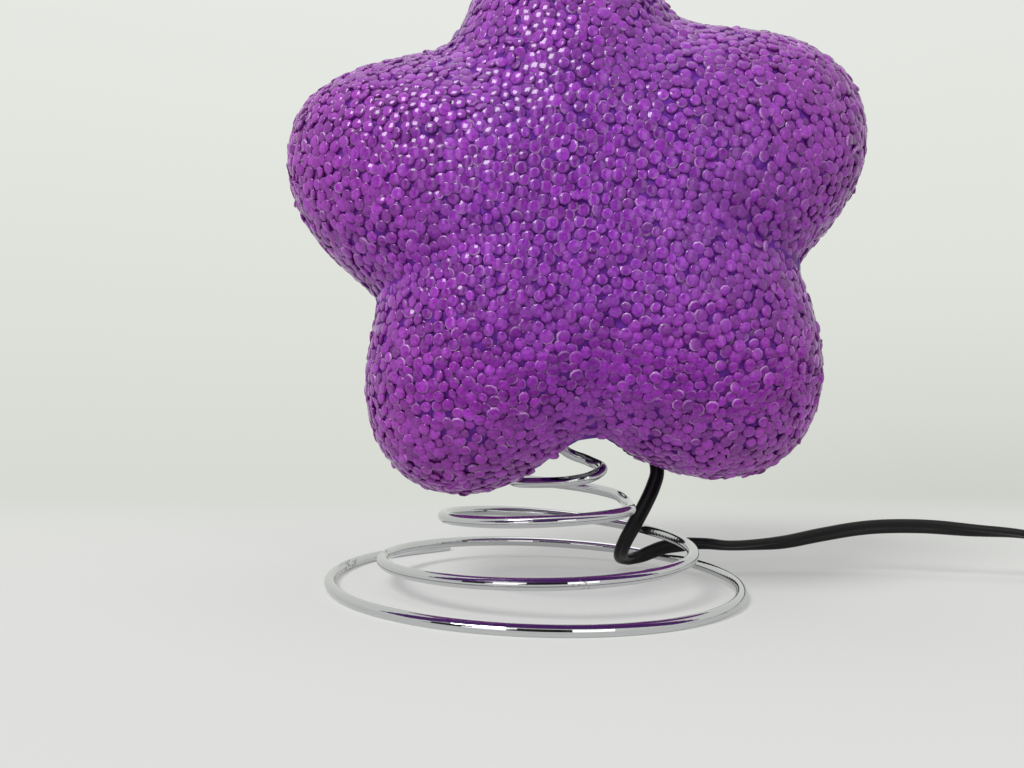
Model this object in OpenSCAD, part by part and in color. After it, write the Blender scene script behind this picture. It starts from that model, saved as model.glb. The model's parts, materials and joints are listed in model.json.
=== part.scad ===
// Star lamp on a conical wire spring, as an assembly of separate pieces. All sizes in millimetres.
// +Z is up, the floor is z = 0, +X is to the right and -Y is the front.

/* [Star shade] */
// Reach of the top and side arms from the star's centre
arm_reach = 106; // [102:1:110]
// Reach of the two lower arms from the star's centre
lower_reach = 112.5; // [108.5:0.5:114]
// Radius at the two upper notches
upper_notch = 74.8; // [73:0.2:78]
// Radius at the two side notches
side_notch = 78.7; // [76.3:0.2:80.7]
// Radius at the bottom notch, before the neck hole is cut
bottom_notch = 83.3; // [82.3:0.2:84.3]
// Half of the star's thickness, front to back
half_depth = 50; // [46:1:54]
// Wall of the fused granule shell
shell_wall = 6; // [5:0.5:7]
// Turn of the star about its own centre, to the left
star_turn = 5.6; // [4.6:0.2:6.6]

/* [Neck] */
// Height of the tips of the lower arms above the floor
arm_height = 37.3; // [36.9:0.2:39.9]
// Radius of the neck hole in the shade
hole_r = 18.5; // [18:0.25:19]
// Wall of the collar in the neck hole
collar_wall = 1.8; // [1.5:0.1:2]
// Thickness of the holder's round plate
plate_t = 3; // [2.5:0.25:3.5]
// Thickness of the clamp washer
washer_t = 1.4; // [1:0.2:1.6]
// Radius of the clamp bolt
bolt_r = 3; // [2.5:0.5:3]

/* [Spring base] */
// Diameter of the spring wire
wire_d = 4; // [3.6:0.1:4.2]
// Radius of the foot turn at the wire's free end
foot_r = 84; // [82:0.5:86]
// Radius of the clamped eye at the top of the spring, to the wire's middle
eye_r = 7.2; // [6.8:0.2:7.4]

/* [Socket and bulb] */
// Radius of the bulb's screw cap
cap_r = 5.95; // [5.8:0.05:6]
// Largest radius of the bulb's glass
bulb_r = 11.1; // [10:0.1:11.4]
// Wall of the bulb's glass
glass_wall = 0.8; // [0.6:0.1:1]
// Length of the bulb's glass above its cap
bulb_l = 39.2; // [36:0.2:40]
// Length of the bulb's cap with its tip
cap_l = 15.3; // [14.8:0.1:15.6]

/* [Cord, switch and plug] */
// Width of the flat twin cord
cord_w = 5.8; // [5.4:0.1:6]
// Thickness of the flat twin cord
cord_t = 2.9; // [2.6:0.1:3]
// Length of the in-line switch
switch_l = 46; // [44:1:48]
// Width of the in-line switch
switch_w = 19; // [18.5:0.5:20]
// Height of the in-line switch
switch_h = 15; // [15:0.5:16]
// Radius of the switch's thumb wheel
wheel_r = 9; // [8.5:0.25:9.25]
// Spacing of the plug's blades
blade_gap = 12.7; // [12.7:0.1:12.8]

/* [Hidden] */
$fn = 64;

// Clearances and presses
slide_gap = 0.4;
seat_gap = 0.1;
press = 0.1;

// The neck stands beside the middle of the foot turn, as the spring leans
neck_x = 5;
foot_x = -5;
// The neck point is this far above the lowest point of the notch
neck_sink = 3.6;
star_up = bottom_notch - neck_sink;
// It is as high as the lower arms need
arm_at = [0, 70.7, 143.9, 214.9, 287.8, 360];
notch_at = [35.1, 109, 178.5, 250.9, 328.6];
lower_arm = 90 + star_turn + arm_at[2];
neck_height = arm_height - lower_reach * sin(lower_arm) - star_up;
// The star's centre is a little to the left of the neck, as its bottom notch is off its middle
star_x = -2.5;
puff = 2.3;

// Stack on the neck axis, measured from the neck point
wire_r = wire_d / 2;
plate_h = 13;
eye_h = plate_h - wire_r;
washer_h = eye_h - wire_r - washer_t;
head_t = 4;
cup_h = plate_h + plate_t;
collar_in = hole_r + press - collar_wall;
plate_r = collar_in - slide_gap;
lip_r = plate_r - 3;
cup_r = 10.6;
chamber_r = 8.4;
cup_l = 15;
cup_top = cup_h + cup_l;
spigot_r = 9.7;
spigot_l = 4;
sleeve_r = 11.2;
disc_t = 2.5;
shell_h = cup_top + disc_t;
shell_in = cap_r + slide_gap;
shell_l = 15.5;
shell_room = 1.1;
sleeve_over = 3;
tip_h = shell_h + 1.7;
glass_h = tip_h + cap_l;
cord_turn = 80;
cord_r = 12;
bush_t = 4;
bush_w = 7.2;
bush_rim = 0.6;
window_w = 6.4;
window_h = 3.4;
lead_gap = 1.45;
lead_r = 0.95;
lead_bend = 2.5;
lead_up = cup_h + 4;
tab_low = lead_up + lead_bend - 1.5;
tab_l = cup_top - tab_low;

// Star outline: angles and radii of the arms and of the notches, anticlockwise from the top arm as seen from
// the front. The moulded star is a little uneven, and its side notches are the sharpest.
arms = [arm_reach, arm_reach, lower_reach, lower_reach, arm_reach - 1, arm_reach];
notches = [upper_notch, side_notch, bottom_notch, side_notch, upper_notch];
lobe_power = [0.97, 0.77, 0.92, 0.77, 0.97];

function outline(a, cut) =
    let (b = (a - star_turn + 630) % 360, k = len([for (q = [1:4]) if (b >= arm_at[q]) q]), n = notch_at[k])
    let (arm = b < n ? arms[k] : arms[k + 1])
    let (s = b < n ? (n - b) / (n - arm_at[k]) : (b - n) / (arm_at[k + 1] - n))
    notches[k] - cut + (arm - notches[k]) * (1 - cos(180 * pow(s, lobe_power[k]))) / 2;

// A puffed star as one closed skin, with a point at the front and at the back
module puffed_star(cut, around, levels) {
    last = levels - 2;
    depth = half_depth - cut;
    ring_pts = [for (j = [1:levels - 1]) for (i = [0:around - 1])
        let (v = -90 + 180 * j / levels, a = i * 360 / around)
        let (r = outline(a, cut) * pow(cos(v), 2 / puff))
        [r * cos(a), sign(v) * pow(abs(sin(v)), 2 / puff) * depth, r * sin(a)]];
    pole = len(ring_pts);
    front_cap = [for (i = [0:around - 1]) [pole, (i + 1) % around, i]];
    back_cap = [for (i = [0:around - 1]) [pole + 1, last * around + i, last * around + (i + 1) % around]];
    side_a = [for (j = [0:last - 1]) for (i = [0:around - 1])
        [j * around + i, j * around + (i + 1) % around, (j + 1) * around + (i + 1) % around]];
    side_b = [for (j = [0:last - 1]) for (i = [0:around - 1])
        [j * around + i, (j + 1) * around + (i + 1) % around, (j + 1) * around + i]];
    polyhedron(
        points = concat(ring_pts, [[0, -depth, 0], [0, depth, 0]]),
        faces = concat(front_cap, back_cap, side_a, side_b));
}

// Everything on the neck is measured from its point
module on_neck() {
    translate([neck_x, 0, neck_height]) children();
}

function neck_point(p) = [neck_x, 0, neck_height] + p;

module ring(inner, outer, low, high) {
    translate([0, 0, low]) difference() {
        cylinder(r = outer, h = high - low);
        translate([0, 0, -1]) cylinder(r = inner, h = high - low + 2);
    }
}

// A smooth line through points, and a tube swept along it
function smooth(a, b, c, d, u) =
    0.5 * (2 * b + (c - a) * u + (2 * a - 5 * b + 4 * c - d) * u * u + (3 * b - a - 3 * c + d) * u * u * u);

function along(list, x) =
    let (n = len(list) - 1, i = min(floor(x), n - 1))
    smooth(list[max(i - 1, 0)], list[i], list[i + 1], list[min(i + 2, n)], x - i);

function unit(v) = v / norm(v);

function line_of(list, steps) = [for (k = [0:(len(list) - 1) * steps]) along(list, k / steps)];

function heading(p, i) = unit(p[min(i + 1, len(p) - 1)] - p[max(i - 1, 0)]);

module tube(path, wide, section, floor_z) {
    n = len(section);
    m = len(path);
    pts = [for (i = [0:m - 1])
        let (t = heading(path, i), w = wide[i] - t * (wide[i] * t), a = unit(w), b = cross(t, a))
        for (s = section) let (q = path[i] + a * s[0] + b * s[1]) [q[0], q[1], max(q[2], floor_z)]];
    low_tri = [for (i = [0:m - 2]) for (k = [0:n - 1])
        [i * n + k, (i + 1) * n + k, (i + 1) * n + (k + 1) % n]];
    high_tri = [for (i = [0:m - 2]) for (k = [0:n - 1])
        [i * n + k, (i + 1) * n + (k + 1) % n, i * n + (k + 1) % n]];
    first = [[for (k = [0:n - 1]) k]];
    final = [[for (k = [n - 1:-1:0]) (m - 1) * n + k]];
    polyhedron(points = pts, faces = concat(low_tri, high_tri, first, final));
}

function least_gap(path, apart) =
    min([for (i = [0:len(path) - 1 - apart]) for (j = [i + apart:len(path) - 1]) norm(path[i] - path[j])]);

// Conical spring: radius, as a share of the foot turn, and height of the wire's middle at every quarter turn
// from its free end
foot_flat = 0.5;
foot_z = wire_r - foot_flat;
turn_start = 120;
wide_rows = [[1, foot_z], [0.904, foot_z], [0.814, foot_z], [0.781, 4.1], [0.75, 7], [0.702, 9.8],
    [0.632, 13.1], [0.5655, 17.1], [0.507, 22.2], [0.445, 25.5], [0.375, 29], [0.305, 30.1]];
turn_rows = [for (q = wide_rows) [foot_r * q[0], q[1]]];
function spiral(a) =
    let (q = along(turn_rows, (a - turn_start) / 90))
    [foot_x + q[0] * cos(a), q[0] * sin(a), max(foot_z, q[1])];
// A narrow turn leans back under the star, measured from the neck point, clear of the arm in front of it
narrow_turn = [[14.8, 10, -22.4], [8.9, 21, -21.6], [1.2, 30, -21.1], [-8.4, 34.5, -20.5], [-17.6, 33, -19.6],
    [-23.4, 27.5, -18.7], [-25.1, 20.5, -18.4], [-21.7, 13.5, -18.6], [-14.1, 6.8, -17.9], [-5.3, 1.6, -16.9],
    [2.9, 0.8, -15.1], [8.4, 8.5, -12.4], [3.7, 16.6, -10.1], [-4.4, 15.2, -6.9]];
// The wire then climbs into the neck and closes into a flat eye under the holder plate
climb_rows = [[10.6, -6.8], [12.5, -0.5], [12.6, 6], [11.6, eye_h - 0.3], [9.2, eye_h], [eye_r, eye_h]];
function climb(k) =
    let (q = k < 5 ? along(climb_rows, k) : [eye_r, eye_h], a = 100 + 55 * k)
    neck_point([q[0] * cos(a), q[0] * sin(a), q[1]]);
wire_knots = concat(
    [for (a = [turn_start:30:1080]) spiral(a)],
    [for (p = narrow_turn) neck_point(p)],
    [for (k = [1:0.5:9]) climb(k)]);
wire_line = line_of(wire_knots, 3);
wire_up = [for (p = wire_line) [0, 0, 1]];
wire_section = [for (k = [0:7]) [wire_r * cos(45 * k + 22.5), wire_r * sin(45 * k + 22.5)]];
echo(spring_least_gap = least_gap(wire_line, 20) - wire_d);

// Flat twin cord, as a rounded flat section
hw = cord_w / 2;
ht = cord_t / 2;
cord_section = [[hw, 0.35 * ht], [0.78 * hw, ht], [-0.78 * hw, ht], [-hw, 0.35 * ht],
    [-hw, -0.35 * ht], [-0.78 * hw, -ht], [0.78 * hw, -ht], [hw, -0.35 * ht]];

// Routes: points of the cord's middle, with the way its wide side faces
bush_z = plate_h - 1.6;
cord_top = neck_point([cord_r * cos(cord_turn), cord_r * sin(cord_turn), bush_z]);
fold = [28.7, 40.9, 3.6];
drop_route = [cord_top, cord_top - [0, 0, 2.2], cord_top - [0, 0, 4.4], [7.7, 14, 58.2], [8.8, 18, 55.2],
    [10.4, 23.4, 54.2], [15.6, 30.5, 54.3], [23.2, 34.8, 54], [30.5, 35.5, 52.2], [35.6, 34, 47.4],
    [37.2, 31.4, 40.1], [35.6, 29.6, 34.2], [32.4, 27.6, 27.5], [27.9, 26, 19.3], [24.7, 26.9, 12.7],
    [23.7, 31, 7.7], [25, 36.6, 4.6], fold];
drop_wide = [[0.98, -0.17, 0], [0.98, -0.17, 0], [0.98, -0.17, 0], [0.98, -0.17, 0], [0.98, -0.17, 0],
    [0.97, -0.22, 0.1], [0.86, -0.5, 0.15], [0.55, -0.75, 0.45], [0.5, -0.4, 0.8], [0.75, 0.05, 0.6],
    [1, 0.2, 0.1], [1, 0.1, 0], [1, 0.1, 0], [1, 0, 0], [1, 0, 0], [1, 0, 0.1], [0.9, -0.2, 0.4],
    [0.6, -0.3, 0.75]];
switch_x = 259;
switch_y = 29;
switch_in = [switch_x - switch_l / 2, switch_y, switch_h / 2];
switch_out = [switch_x + switch_l / 2, switch_y, switch_h / 2];
run_route = [fold, [33.2, 42.6, 4.6], [37.8, 41.7, 6.8], [42.1, 39.5, 8.9], [46.9, 37, 10.2],
    [52.3, 34.6, 11.3], [58.3, 33.2, 11.6], [65.4, 33.4, 11.1], [75.5, 36.2, 11.1],
    [89.9, 39.2, 12.1], [104.7, 40.6, 15.1], [119.5, 40.4, 18], [132, 39.4, 19.4], [147, 37, 19.9],
    [163, 35.4, 19.1], [183, 34, 18.2], [203, 32, 14.6], [219, 30, 10], switch_in - [6, 0, 0], switch_in];
run_wide = [[0.6, -0.3, 0.75], [0.3, -0.3, 0.9], [0.05, -0.25, 0.95], [0, -0.25, 0.95], [0, -0.3, 0.9],
    [0, -0.6, 0.75], [0, -0.75, 0.65], [0, -0.85, 0.5], [0, -0.8, 0.6], [0, -0.4, 0.9], [0, -0.2, 1],
    [0, -0.1, 1], [0, -0.1, 1], [0, -0.2, 1],
    [0, -0.6, 0.8], [0, -0.95, 0.3], [0, -1, 0], [0, -1, 0], [0, -1, 0], [0, -1, 0]];

// The rest of the cord is put away in a tied coil of two layers
coil_x = 330;
coil_y = -22;
coil_in = 22;
coil_turns = 6.25;
coil_step = cord_w + 0.6;
tie_t = 0.9;
coil_z = tie_t + ht;
layer = cord_t + 0.7;
function coil_point(t) =
    let (a = 90 - 360 * t, half = coil_turns / 2, r = coil_in + coil_step * abs(t - half))
    let (u = max(0, min(1, (t - half + 0.5) / 0.5)))
    [coil_x + r * cos(a), coil_y + r * sin(a), coil_z + layer * u * u * (3 - 2 * u)];
coil_line = [for (k = [0:coil_turns * 24]) coil_point(k / 24)];
coil_wide = [for (p = coil_line) [p[0] - coil_x, p[1] - coil_y, 0]];
echo(coil_least_gap = least_gap(coil_line, 20) - cord_t);
coil_start = coil_point(0);
coil_end = coil_point(coil_turns);
lead_route = [switch_out, switch_out + [6, 0, 0], [297, 28.2, 6], [307, 25.8, 3.8],
    coil_start + [-13, 2.6, 0.1], coil_start + [-6, 0.4, 0], coil_start];
lead_wide = [for (p = lead_route) [0, 1, 0]];
plug_y = -81;
plug_z = 7;
relief_end = [326, plug_y, plug_z];
tail_route = [coil_end, coil_end + [0, -6, 0], coil_end + [1.6, -16, -0.8], [371.4, -50, 3.2],
    [367, -62, 1.9], [357, -72.4, 2.4], [345, -79, 4.6], relief_end + [8, 0.2, -0.3], relief_end];
tail_wide = [[1, 0, 0], [1, 0, 0], [1, 0, 0], [1, -0.2, 0], [1, -0.6, 0], [0.6, -0.9, 0], [0.3, -1, 0],
    [0, -1, 0], [0, -1, 0]];

module star_shade() {
    color([0.49, 0.27, 0.6]) on_neck() difference() {
        translate([star_x, 0, star_up]) puffed_star(0, 60, 18);
        translate([star_x, 0, star_up]) puffed_star(shell_wall, 40, 12);
        translate([0, 0, -20]) cylinder(r = hole_r, h = 50);
        cord_notch();
    }
}

// Open notch in the neck's rim where the cord leaves at the back
module cord_notch() {
    rotate([0, 0, cord_turn]) translate([cord_r, -cord_w / 2 - 1.2, -20])
        cube([half_depth, cord_w + 2.4, 24.5]);
}

module shade_collar() {
    color([0.9, 0.88, 0.92]) on_neck() difference() {
        union() {
            ring(collar_in, hole_r + press, 2.5, cup_h + 2.5);
            ring(lip_r, collar_in + 0.5, cup_h, cup_h + 2.5);
        }
        cord_notch();
    }
}

module holder_base() {
    color([0.93, 0.92, 0.9]) on_neck() difference() {
        union() {
            translate([0, 0, plate_h]) cylinder(r = plate_r, h = plate_t);
            ring(chamber_r, cup_r, cup_h - 0.01, cup_top - spigot_l);
            ring(chamber_r, spigot_r, cup_top - spigot_l - 0.01, cup_top);
        }
        translate([0, 0, plate_h - 1]) cylinder(r = bolt_r + 0.3, h = plate_t + 2);
        rotate([0, 0, cord_turn]) {
            translate([cord_r - bush_t / 2 - seat_gap, -bush_w / 2 - seat_gap, plate_h - 1])
                cube([bush_t + 2 * seat_gap, bush_w + 2 * seat_gap, plate_t + 1.01]);
            translate([chamber_r - 1.4, -window_w / 2, lead_up + lead_bend - window_h / 2])
                cube([cup_r - chamber_r + 3.8, window_w, window_h]);
        }
    }
}

module holder_sleeve() {
    color([0.93, 0.92, 0.9]) on_neck() {
        ring(spigot_r + seat_gap, sleeve_r, cup_top - spigot_l, shell_h);
        ring(shell_in + shell_room, sleeve_r, shell_h, shell_h + shell_l + sleeve_over);
    }
}

module contact_plate() {
    color([0.36, 0.2, 0.12]) on_neck() difference() {
        translate([0, 0, cup_top]) cylinder(r = spigot_r - seat_gap, h = disc_t);
        translate([0, 0, cup_top - 1]) cylinder(r = 1.2, h = disc_t + 2);
        rotate([0, 0, cord_turn]) translate([0, -5, cup_top - 1]) cylinder(r = 1.1, h = disc_t + 2);
    }
}

module screw_shell() {
    color([0.78, 0.6, 0.25]) on_neck() difference() {
        union() {
            ring(shell_in, shell_in + 0.45, shell_h, shell_h + shell_l);
            ring(3.4, shell_in + 0.2, shell_h, shell_h + 0.5);
        }
        rotate([0, 0, cord_turn]) translate([0, -5, shell_h - 1]) cylinder(r = 1.1, h = 3);
    }
}

// Button that the bulb stands on, its rivet, and the tab for the live lead
module centre_contact() {
    color([0.8, 0.62, 0.28]) on_neck() {
        translate([0, 0, shell_h]) cylinder(r = 2.4, h = tip_h - shell_h);
        translate([0, 0, cup_top - 0.6]) cylinder(r = 1.2, h = disc_t + 1);
        translate([0, 0, cup_top - 0.6]) cylinder(r = 2.3, h = 0.6);
        rotate([0, 0, cord_turn]) {
            translate([0, 0.35, cup_top - 0.6]) cube([6.1, 2.2, 0.6]);
            translate([5.5, 0.35, tab_low]) cube([0.6, 2.2, tab_l]);
        }
    }
}

// Rivet that holds the screw shell, and the tab for the neutral lead
module shell_contact() {
    color([0.8, 0.62, 0.28]) on_neck() rotate([0, 0, cord_turn]) {
        translate([0, -5, cup_top - 0.3]) cylinder(r = 1.1, h = disc_t + 1);
        translate([0, -5, shell_h + 0.5]) cylinder(r = 1.4, h = 0.6);
        translate([-1.2, -6.2, cup_top - 0.6]) cube([5.8, 3.2, 0.6]);
        translate([3, -4.4, cup_top - 0.6]) cube([3.1, 4.05, 0.6]);
        translate([5.5, -2.55, tab_low]) cube([0.6, 2.2, tab_l]);
    }
}

// One insulated lead: up from the bushing, over a bend and in through the cup's window to its tab
module lead(side) {
    on_neck() rotate([0, 0, cord_turn]) translate([0, side * lead_gap, 0]) {
        translate([cord_r, 0, cup_h]) cylinder(r = lead_r, h = lead_up - cup_h);
        translate([cord_r - lead_bend, 0, lead_up]) rotate([90, 0, 0])
            rotate_extrude(angle = 90) translate([lead_bend, 0]) circle(r = lead_r);
        translate([6.1, 0, lead_up + lead_bend]) rotate([0, 90, 0])
            cylinder(r = lead_r, h = cord_r - lead_bend - 6.1);
    }
}

module lead_live() {
    color([0.1, 0.1, 0.1]) lead(1);
}

module lead_neutral() {
    color([0.12, 0.12, 0.12]) lead(-1);
}

module cord_bushing() {
    color([0.08, 0.08, 0.08]) on_neck() rotate([0, 0, cord_turn]) {
        translate([cord_r - bush_t / 2 - bush_rim, -bush_w / 2 - bush_rim, bush_z])
            cube([bush_t + 2 * bush_rim, bush_w + 2 * bush_rim, plate_h - bush_z]);
        translate([cord_r - bush_t / 2, -bush_w / 2, plate_h - 0.01]) cube([bush_t, bush_w, plate_t + 0.01]);
    }
}

module clamp_bolt() {
    color([0.7, 0.7, 0.72]) on_neck() {
        translate([0, 0, washer_h - head_t]) cylinder(r = 5.77, h = head_t, $fn = 6);
        translate([0, 0, washer_h - 0.01]) cylinder(r = bolt_r, h = cup_h + 6.5 - washer_h);
    }
}

module clamp_washer() {
    color([0.72, 0.72, 0.74]) on_neck()
        ring(bolt_r + 0.3, eye_r + wire_r - 0.2, washer_h, washer_h + washer_t);
}

module clamp_nut() {
    color([0.7, 0.7, 0.72]) on_neck() translate([0, 0, cup_h]) difference() {
        cylinder(r = 5.77, h = 5, $fn = 6);
        translate([0, 0, -1]) cylinder(r = bolt_r, h = 7);
    }
}

module spring_base() {
    color([0.8, 0.8, 0.82]) tube(wire_line, wire_up, wire_section, 0);
}

// Flame-shaped glass: radius as a share of the widest, and height as a share of its length
glass_rows = [[0.53, 0.04], [0.72, 0.13], [0.92, 0.255], [1, 0.38], [0.98, 0.485], [0.88, 0.61], [0.71, 0.74],
    [0.47, 0.865], [0.2, 0.97]];

module bulb_glass() {
    neck_r = cap_r - 0.35 + press / 2;
    outside = concat([[neck_r, glass_h - 3.5], [neck_r, glass_h + 0.5]],
        [for (g = glass_rows) [g[0] * bulb_r, glass_h + g[1] * bulb_l]], [[0, glass_h + bulb_l]]);
    inside = concat([[0, glass_h + bulb_l - 1.5 * glass_wall]],
        [for (k = [len(glass_rows) - 1:-1:0])
            [glass_rows[k][0] * bulb_r - glass_wall, glass_h + glass_rows[k][1] * bulb_l - 0.4 * glass_wall]],
        [[neck_r - glass_wall, glass_h + 0.5], [neck_r - glass_wall, glass_h - 3.5]]);
    color([0.95, 0.95, 0.92, 0.5]) on_neck() rotate_extrude() polygon(concat(outside, inside));
}

module bulb_cap() {
    color([0.76, 0.62, 0.3]) on_neck() {
        ring(cap_r - 0.35, cap_r, tip_h + 1.8, glass_h);
        ring(4.6, cap_r - 0.1, tip_h + 1.8, tip_h + 2.2);
    }
}

module bulb_insulator() {
    color([0.06, 0.06, 0.07]) on_neck() translate([0, 0, tip_h + 0.7])
        cylinder(r1 = 2.6, r2 = 4.6, h = 1.5);
}

module bulb_tip() {
    color([0.7, 0.7, 0.7]) on_neck() translate([0, 0, tip_h]) cylinder(r = 1.9, h = 0.7);
}

module bulb_stem() {
    flare = cap_r - 0.35 + press / 2 - glass_wall;
    color([0.85, 0.88, 0.9, 0.6]) on_neck() {
        translate([0, 0, glass_h - 3.5]) cylinder(r = flare, h = 0.8);
        translate([0, 0, glass_h - 3]) cylinder(r = 1.7, h = 10);
    }
}

module bulb_filament() {
    color([0.5, 0.5, 0.52]) on_neck() {
        for (side = [-1, 1])
            translate([side * 1, 0, glass_h + 6.9]) rotate([0, side * 24, 0]) cylinder(r = 0.3, h = 9);
        translate([-4.9, 0, glass_h + 15]) rotate([0, 90, 0]) cylinder(r = 0.45, h = 9.8);
    }
}

module cord_drop() {
    color([0.05, 0.05, 0.05]) tube(line_of(drop_route, 2), line_of(drop_wide, 2), cord_section, 0);
}

module cord_run() {
    color([0.05, 0.05, 0.05]) tube(line_of(run_route, 2), line_of(run_wide, 2), cord_section, 0);
}

module cord_lead() {
    color([0.05, 0.05, 0.05]) tube(line_of(lead_route, 3), line_of(lead_wide, 3), cord_section, 0);
}

module cord_coil() {
    color([0.05, 0.05, 0.05]) tube(coil_line, coil_wide, cord_section, 0);
}

module cord_tail() {
    color([0.05, 0.05, 0.05]) tube(line_of(tail_route, 3), line_of(tail_wide, 3), cord_section, 0);
}

// Strap round the coil's bundle, flat on the floor
module cord_tie() {
    inner = coil_in - hw;
    outer = coil_in + coil_step * coil_turns / 2 + hw;
    top = coil_z + layer + ht + 0.2;
    color([0.1, 0.1, 0.1]) translate([coil_x, coil_y, 0]) difference() {
        translate([-outer - 1, -5, 0]) cube([outer - inner + 2, 10, top + tie_t]);
        translate([-outer, -6, tie_t]) cube([outer - inner, 12, top - tie_t]);
    }
}

// In-line switch, lying flat, its length along X
corner_r = 5;
wheel_y = switch_w / 2 - wheel_r + 1.7;
wheel_t = 5.4;
wheel_z = (switch_h - wheel_t) / 2;
post_r = 2;
screw_x = switch_l / 2 - 5.5;
screw_y = 5;

module switch_outline() {
    for (x = [-1, 1]) for (y = [-1, 1])
        translate([x * (switch_l / 2 - corner_r), y * (switch_w / 2 - corner_r)]) circle(r = corner_r);
    square([switch_l - 2 * corner_r, switch_w], center = true);
    square([switch_l, switch_w - 2 * corner_r], center = true);
}

module at_switch() {
    translate([switch_x, switch_y, 0]) children();
}

module switch_hollow() {
    translate([0, wheel_y, wheel_z]) cylinder(r = wheel_r + 0.6, h = wheel_t + 0.4);
    for (side = [-1, 1])
        translate([side * 15.2 - 3.6, -5.2, switch_h / 2 - 1.4]) cube([7.2, 3.8, 2.8]);
}

module switch_lower() {
    color([0.06, 0.06, 0.06]) at_switch() {
        difference() {
            linear_extrude(switch_h / 2) switch_outline();
            switch_hollow();
            for (side = [-1, 1]) translate([side * screw_x, screw_y, -1]) {
                cylinder(r = 2.6, h = 3.2);
                cylinder(r = 1.4, h = switch_h);
            }
        }
        translate([0, wheel_y, wheel_z - 0.01]) cylinder(r = post_r, h = wheel_t);
    }
}

module switch_upper() {
    color([0.06, 0.06, 0.06]) at_switch() difference() {
        translate([0, 0, switch_h / 2]) linear_extrude(switch_h / 2) switch_outline();
        switch_hollow();
        for (side = [-1, 1]) translate([side * screw_x, screw_y, switch_h / 2 - 1])
            cylinder(r = 1.3, h = switch_h / 2 - 1);
    }
}

module switch_wheel() {
    color([0.08, 0.08, 0.08]) at_switch() translate([0, wheel_y, wheel_z]) difference() {
        cylinder(r = wheel_r, h = wheel_t);
        translate([0, 0, -1]) cylinder(r = post_r + slide_gap, h = wheel_t + 2);
        for (k = [0:23]) rotate([0, 0, 15 * k]) translate([wheel_r + 0.35, 0, -1])
            cylinder(r = 0.7, h = wheel_t + 2);
    }
}

module switch_contact(side) {
    color([0.8, 0.62, 0.28]) at_switch() translate([side * 15.2 - 3.4, -5, switch_h / 2 - 1.4])
        cube([6.8, 3.4, 0.8]);
}

module switch_contact_in() {
    switch_contact(-1);
}

module switch_contact_out() {
    switch_contact(1);
}

module switch_screw(side) {
    color([0.7, 0.7, 0.72]) at_switch() translate([side * screw_x, screw_y, 0]) {
        translate([0, 0, 0.6]) cylinder(r = 2.4, h = 1.6);
        translate([0, 0, 2]) cylinder(r = 1.3, h = switch_h - 4.5);
    }
}

module switch_screw_in() {
    switch_screw(-1);
}

module switch_screw_out() {
    switch_screw(1);
}

// Two-blade plug, lying flat with its blades to the left
relief_l = 22;
body_l = 20;
body_w = 24;
body_h = 2 * plug_z;
blade_l = 16.5;

module plug_relief() {
    color([0.06, 0.06, 0.06]) translate(relief_end) rotate([0, -90, 0])
        cylinder(r1 = 3.8, r2 = 5.6, h = relief_l);
}

module plug_body() {
    color([0.06, 0.06, 0.06]) translate([relief_end[0] - relief_l, plug_y, 0]) linear_extrude(body_h) {
        translate([-body_l, -body_w / 2]) square([body_l - 5, body_w]);
        translate([-5.01, 5 - body_w / 2]) square([5.01, body_w - 10]);
        for (side = [-1, 1]) translate([-5, side * (body_w / 2 - 5)]) circle(r = 5);
    }
}

module blade(side, tall) {
    face_x = relief_end[0] - relief_l - body_l;
    color([0.8, 0.68, 0.36]) translate([face_x, plug_y + side * blade_gap / 2, plug_z])
        difference() {
            translate([-blade_l, -0.75, -tall / 2]) cube([blade_l, 1.5, tall]);
            translate([-11.9, 2, 0]) rotate([90, 0, 0]) cylinder(r = 1.6, h = 4);
        }
}

module blade_wide() {
    blade(1, 7.9);
}

module blade_narrow() {
    blade(-1, 6.35);
}

star_shade();
shade_collar();
holder_base();
holder_sleeve();
contact_plate();
screw_shell();
centre_contact();
shell_contact();
lead_live();
lead_neutral();
cord_bushing();
clamp_bolt();
clamp_washer();
clamp_nut();
spring_base();
bulb_glass();
bulb_cap();
bulb_insulator();
bulb_tip();
bulb_stem();
bulb_filament();
cord_drop();
cord_run();
switch_lower();
switch_upper();
switch_wheel();
switch_contact_in();
switch_contact_out();
switch_screw_in();
switch_screw_out();
cord_lead();
cord_coil();
cord_tie();
cord_tail();
plug_relief();
plug_body();
blade_wide();
blade_narrow();
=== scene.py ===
import json
import math

import bmesh
import bpy
import numpy as np
from mathutils import Matrix, Vector
from mathutils.kdtree import KDTree


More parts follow.
